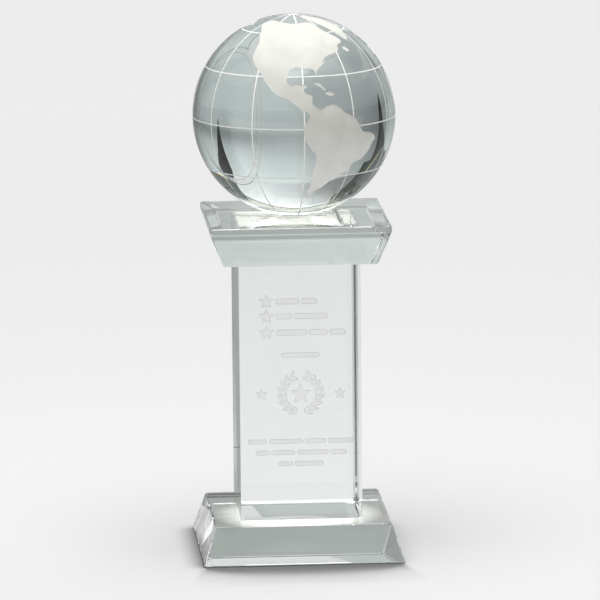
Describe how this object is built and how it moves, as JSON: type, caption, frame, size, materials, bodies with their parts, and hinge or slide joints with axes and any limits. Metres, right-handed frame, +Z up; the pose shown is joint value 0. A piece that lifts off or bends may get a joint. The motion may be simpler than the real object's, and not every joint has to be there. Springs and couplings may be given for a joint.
{
  "type": "column trophy",
  "caption": "Clear glass award: an etched world globe glued on a bevelled capital slab, a square engraved column and a bevelled square base.",
  "frame": {"origin": "centre of the base's underside", "axes": "+Z up along the column, from the base to the globe; the column's engraved front faces -Y; +X to the right of someone reading it"},
  "size_m": [0.08, 0.08, 0.2131],
  "materials": {
    "clear_glass": "polished optical glass, neutral with a faint grey-green tone in the edges",
    "etched_glass": "polished optical glass with sandblasted continents and fine etched graticule lines",
    "adhesive": "clear cured adhesive film"
  },
  "bodies": {
    "root": {"base": "clear_glass", "base_film": "adhesive", "column": "clear_glass", "capital_film": "adhesive", "capital": "clear_glass", "globe_film": "adhesive", "globe": "etched_glass"}
  },
  "joints": []
}
